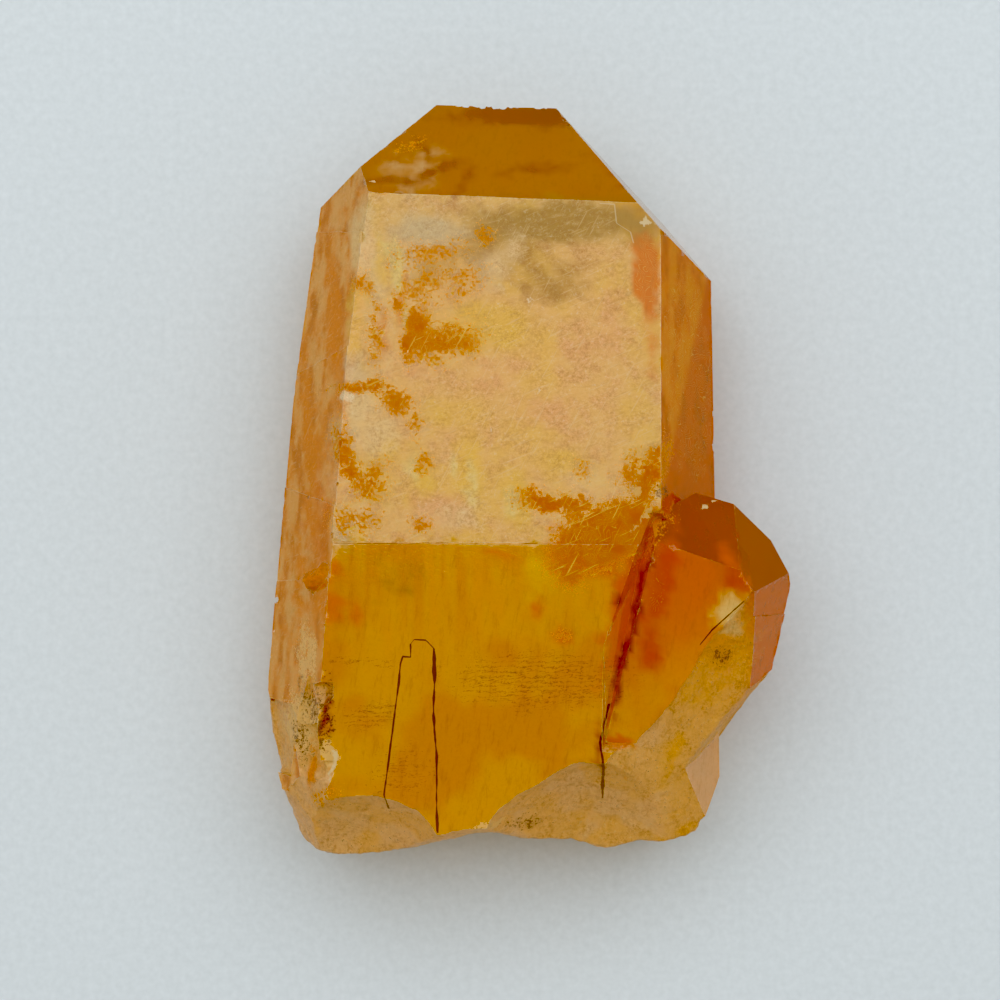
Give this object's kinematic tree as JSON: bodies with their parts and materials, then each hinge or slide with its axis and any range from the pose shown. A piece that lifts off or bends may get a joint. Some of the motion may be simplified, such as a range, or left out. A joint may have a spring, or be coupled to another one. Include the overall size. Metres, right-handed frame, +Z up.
{
  "type": "tangerine quartz crystal",
  "caption": "Flattened amber quartz crystal with a chisel tip and a broken root, lying on a prism face, with a smaller crystal fused to its side.",
  "frame": {"origin": "centre of the bounding box's base, on the surface that the crystal lies on", "axes": "+Y along the large crystal's length towards its tip, +X towards the side with the small crystal, +Z up"},
  "size_m": [0.0454, 0.0652, 0.0171],
  "materials": {
    "tangerine_quartz": "clear to cloudy amber, glossy crystal faces with rough stained patches"
  },
  "bodies": {
    "root": {"quartz_crystals": "tangerine_quartz"}
  },
  "joints": []
}
